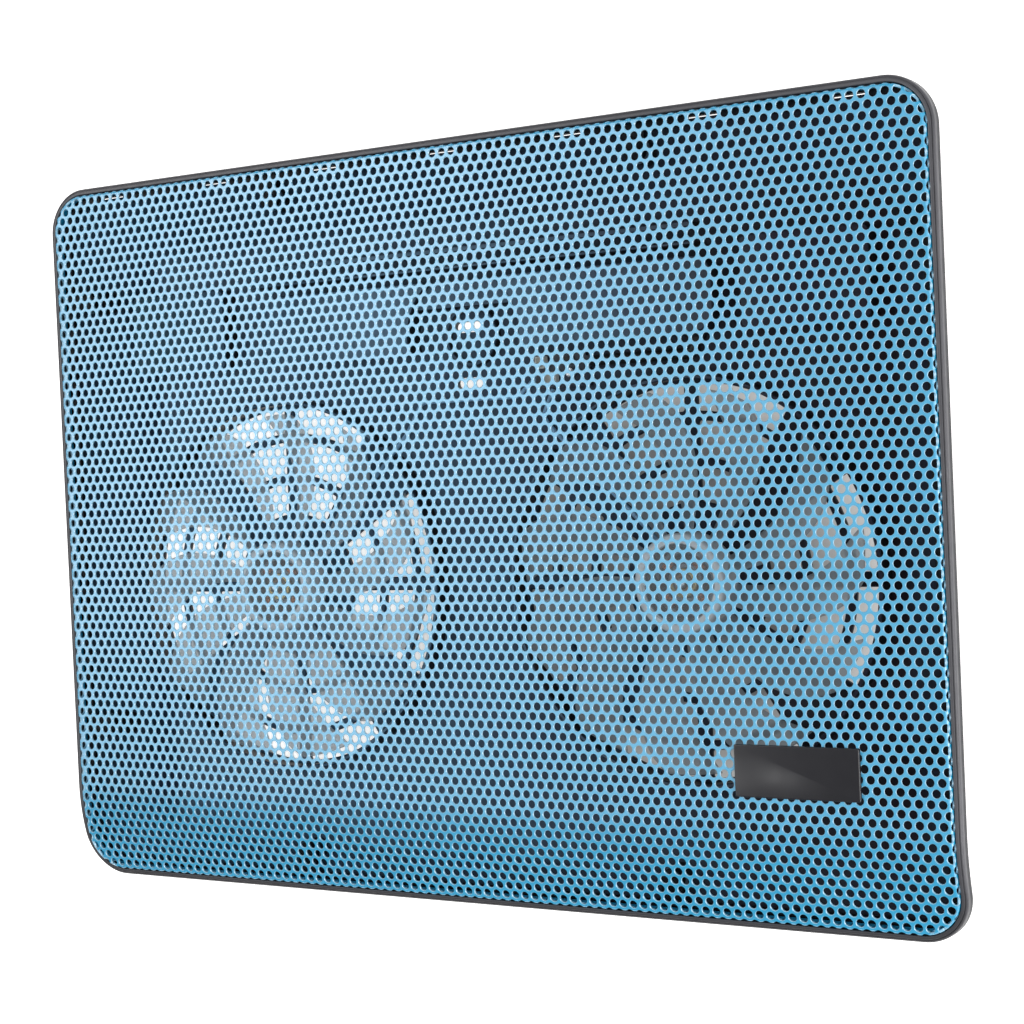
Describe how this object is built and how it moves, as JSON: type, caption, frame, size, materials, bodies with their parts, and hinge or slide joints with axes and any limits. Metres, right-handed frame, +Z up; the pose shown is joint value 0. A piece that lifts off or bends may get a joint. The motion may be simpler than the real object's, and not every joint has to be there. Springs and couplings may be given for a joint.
{
  "type": "laptop cooling pad",
  "caption": "Slim laptop cooling pad: a perforated blue steel top with a rolled front edge in a dark dished tray, clear fans underneath and fold-out rear legs.",
  "frame": {"origin": "centre of the pad's outline, on the table plane under its rubber feet", "axes": "+X to the user's right, +Y to the rear edge, +Z up, out of the perforated top"},
  "size_m": [0.328, 0.242, 0.0259],
  "materials": {
    "blue_steel": "sky-blue powder coat, satin, fine orange peel",
    "rim_plastic": "dark grey moulded plastic, fine spark texture",
    "tray_plastic": "charcoal moulded plastic, fine spark texture",
    "plate": "plain dark satin plate, no lettering",
    "clear_plastic": "clear moulded plastic with a light frost on the blades",
    "bright_steel": "bright turned or rolled steel",
    "screw_steel": "black zinc plate",
    "laminated_steel": "stamped steel laminations",
    "magnet": "bonded ferrite",
    "brass": "turned brass",
    "bronze": "sintered bronze, oiled",
    "copper_wire": "enamelled copper wire",
    "circuit_board": "blue-black solder mask",
    "fan_wire": "pale blue wire insulation",
    "cable_sheath": "black soft vinyl",
    "white_plastic": "natural nylon",
    "rubber": "black moulded rubber"
  },
  "bodies": {
    "pad": {"base_tray": "tray_plastic", "top_frame": "rim_plastic", "mesh_panel": "blue_steel", "name_plate": "plate", "power_board": "circuit_board", "usb_cable": "cable_sheath", "cable_grommet": "rubber", "usb_plug_grip": "cable_sheath", "usb_plug_shell": "bright_steel", "usb_plug_tongue": "white_plastic", "left_bearing_tube": "brass", "left_bearing_sleeve": "bronze", "left_stator_core": "laminated_steel", "left_motor_board": "circuit_board", "left_coil_1": "copper_wire", "left_coil_2": "copper_wire", "left_coil_3": "copper_wire", "left_coil_4": "copper_wire", "left_fan_lead": "fan_wire", "left_leg_pin": "bright_steel", "left_front_foot": "rubber", "left_rear_foot": "rubber", "right_bearing_tube": "brass", "right_bearing_sleeve": "bronze", "right_stator_core": "laminated_steel", "right_motor_board": "circuit_board", "right_coil_1": "copper_wire", "right_coil_2": "copper_wire", "right_coil_3": "copper_wire", "right_coil_4": "copper_wire", "right_fan_lead": "fan_wire", "right_leg_pin": "bright_steel", "right_front_foot": "rubber", "right_rear_foot": "rubber", "tray_screw_1": "screw_steel", "tray_screw_2": "screw_steel", "tray_screw_3": "screw_steel", "tray_screw_4": "screw_steel", "tray_screw_5": "screw_steel", "tray_screw_6": "screw_steel", "tray_screw_7": "screw_steel", "tray_screw_8": "screw_steel"},
    "left_fan": {"left_rotor": "clear_plastic", "left_rotor_yoke": "bright_steel", "left_rotor_magnet": "magnet", "left_shaft": "bright_steel", "left_shaft_clip": "white_plastic"},
    "left_leg": {"left_rear_leg": "tray_plastic", "left_leg_pad": "rubber"},
    "right_fan": {"right_rotor": "clear_plastic", "right_rotor_yoke": "bright_steel", "right_rotor_magnet": "magnet", "right_shaft": "bright_steel", "right_shaft_clip": "white_plastic"},
    "right_leg": {"right_rear_leg": "tray_plastic", "right_leg_pad": "rubber"}
  },
  "joints": [
    {"name": "left_fan_spin", "type": "hinge", "parent": "pad", "child": "left_fan", "pos_m": [-0.0765, -0.0195, 0.0085], "axis": [0, 0, 1], "continuous": true},
    {"name": "left_leg_fold", "type": "hinge", "parent": "pad", "child": "left_leg", "pos_m": [-0.118, 0.0764, 0.0066], "axis": [1, 0, 0], "range_deg": [0, 105]},
    {"name": "right_fan_spin", "type": "hinge", "parent": "pad", "child": "right_fan", "pos_m": [0.0765, -0.0195, 0.0085], "axis": [0, 0, 1], "continuous": true},
    {"name": "right_leg_fold", "type": "hinge", "parent": "pad", "child": "right_leg", "pos_m": [0.118, 0.0764, 0.0066], "axis": [1, 0, 0], "range_deg": [0, 105]}
  ]
}
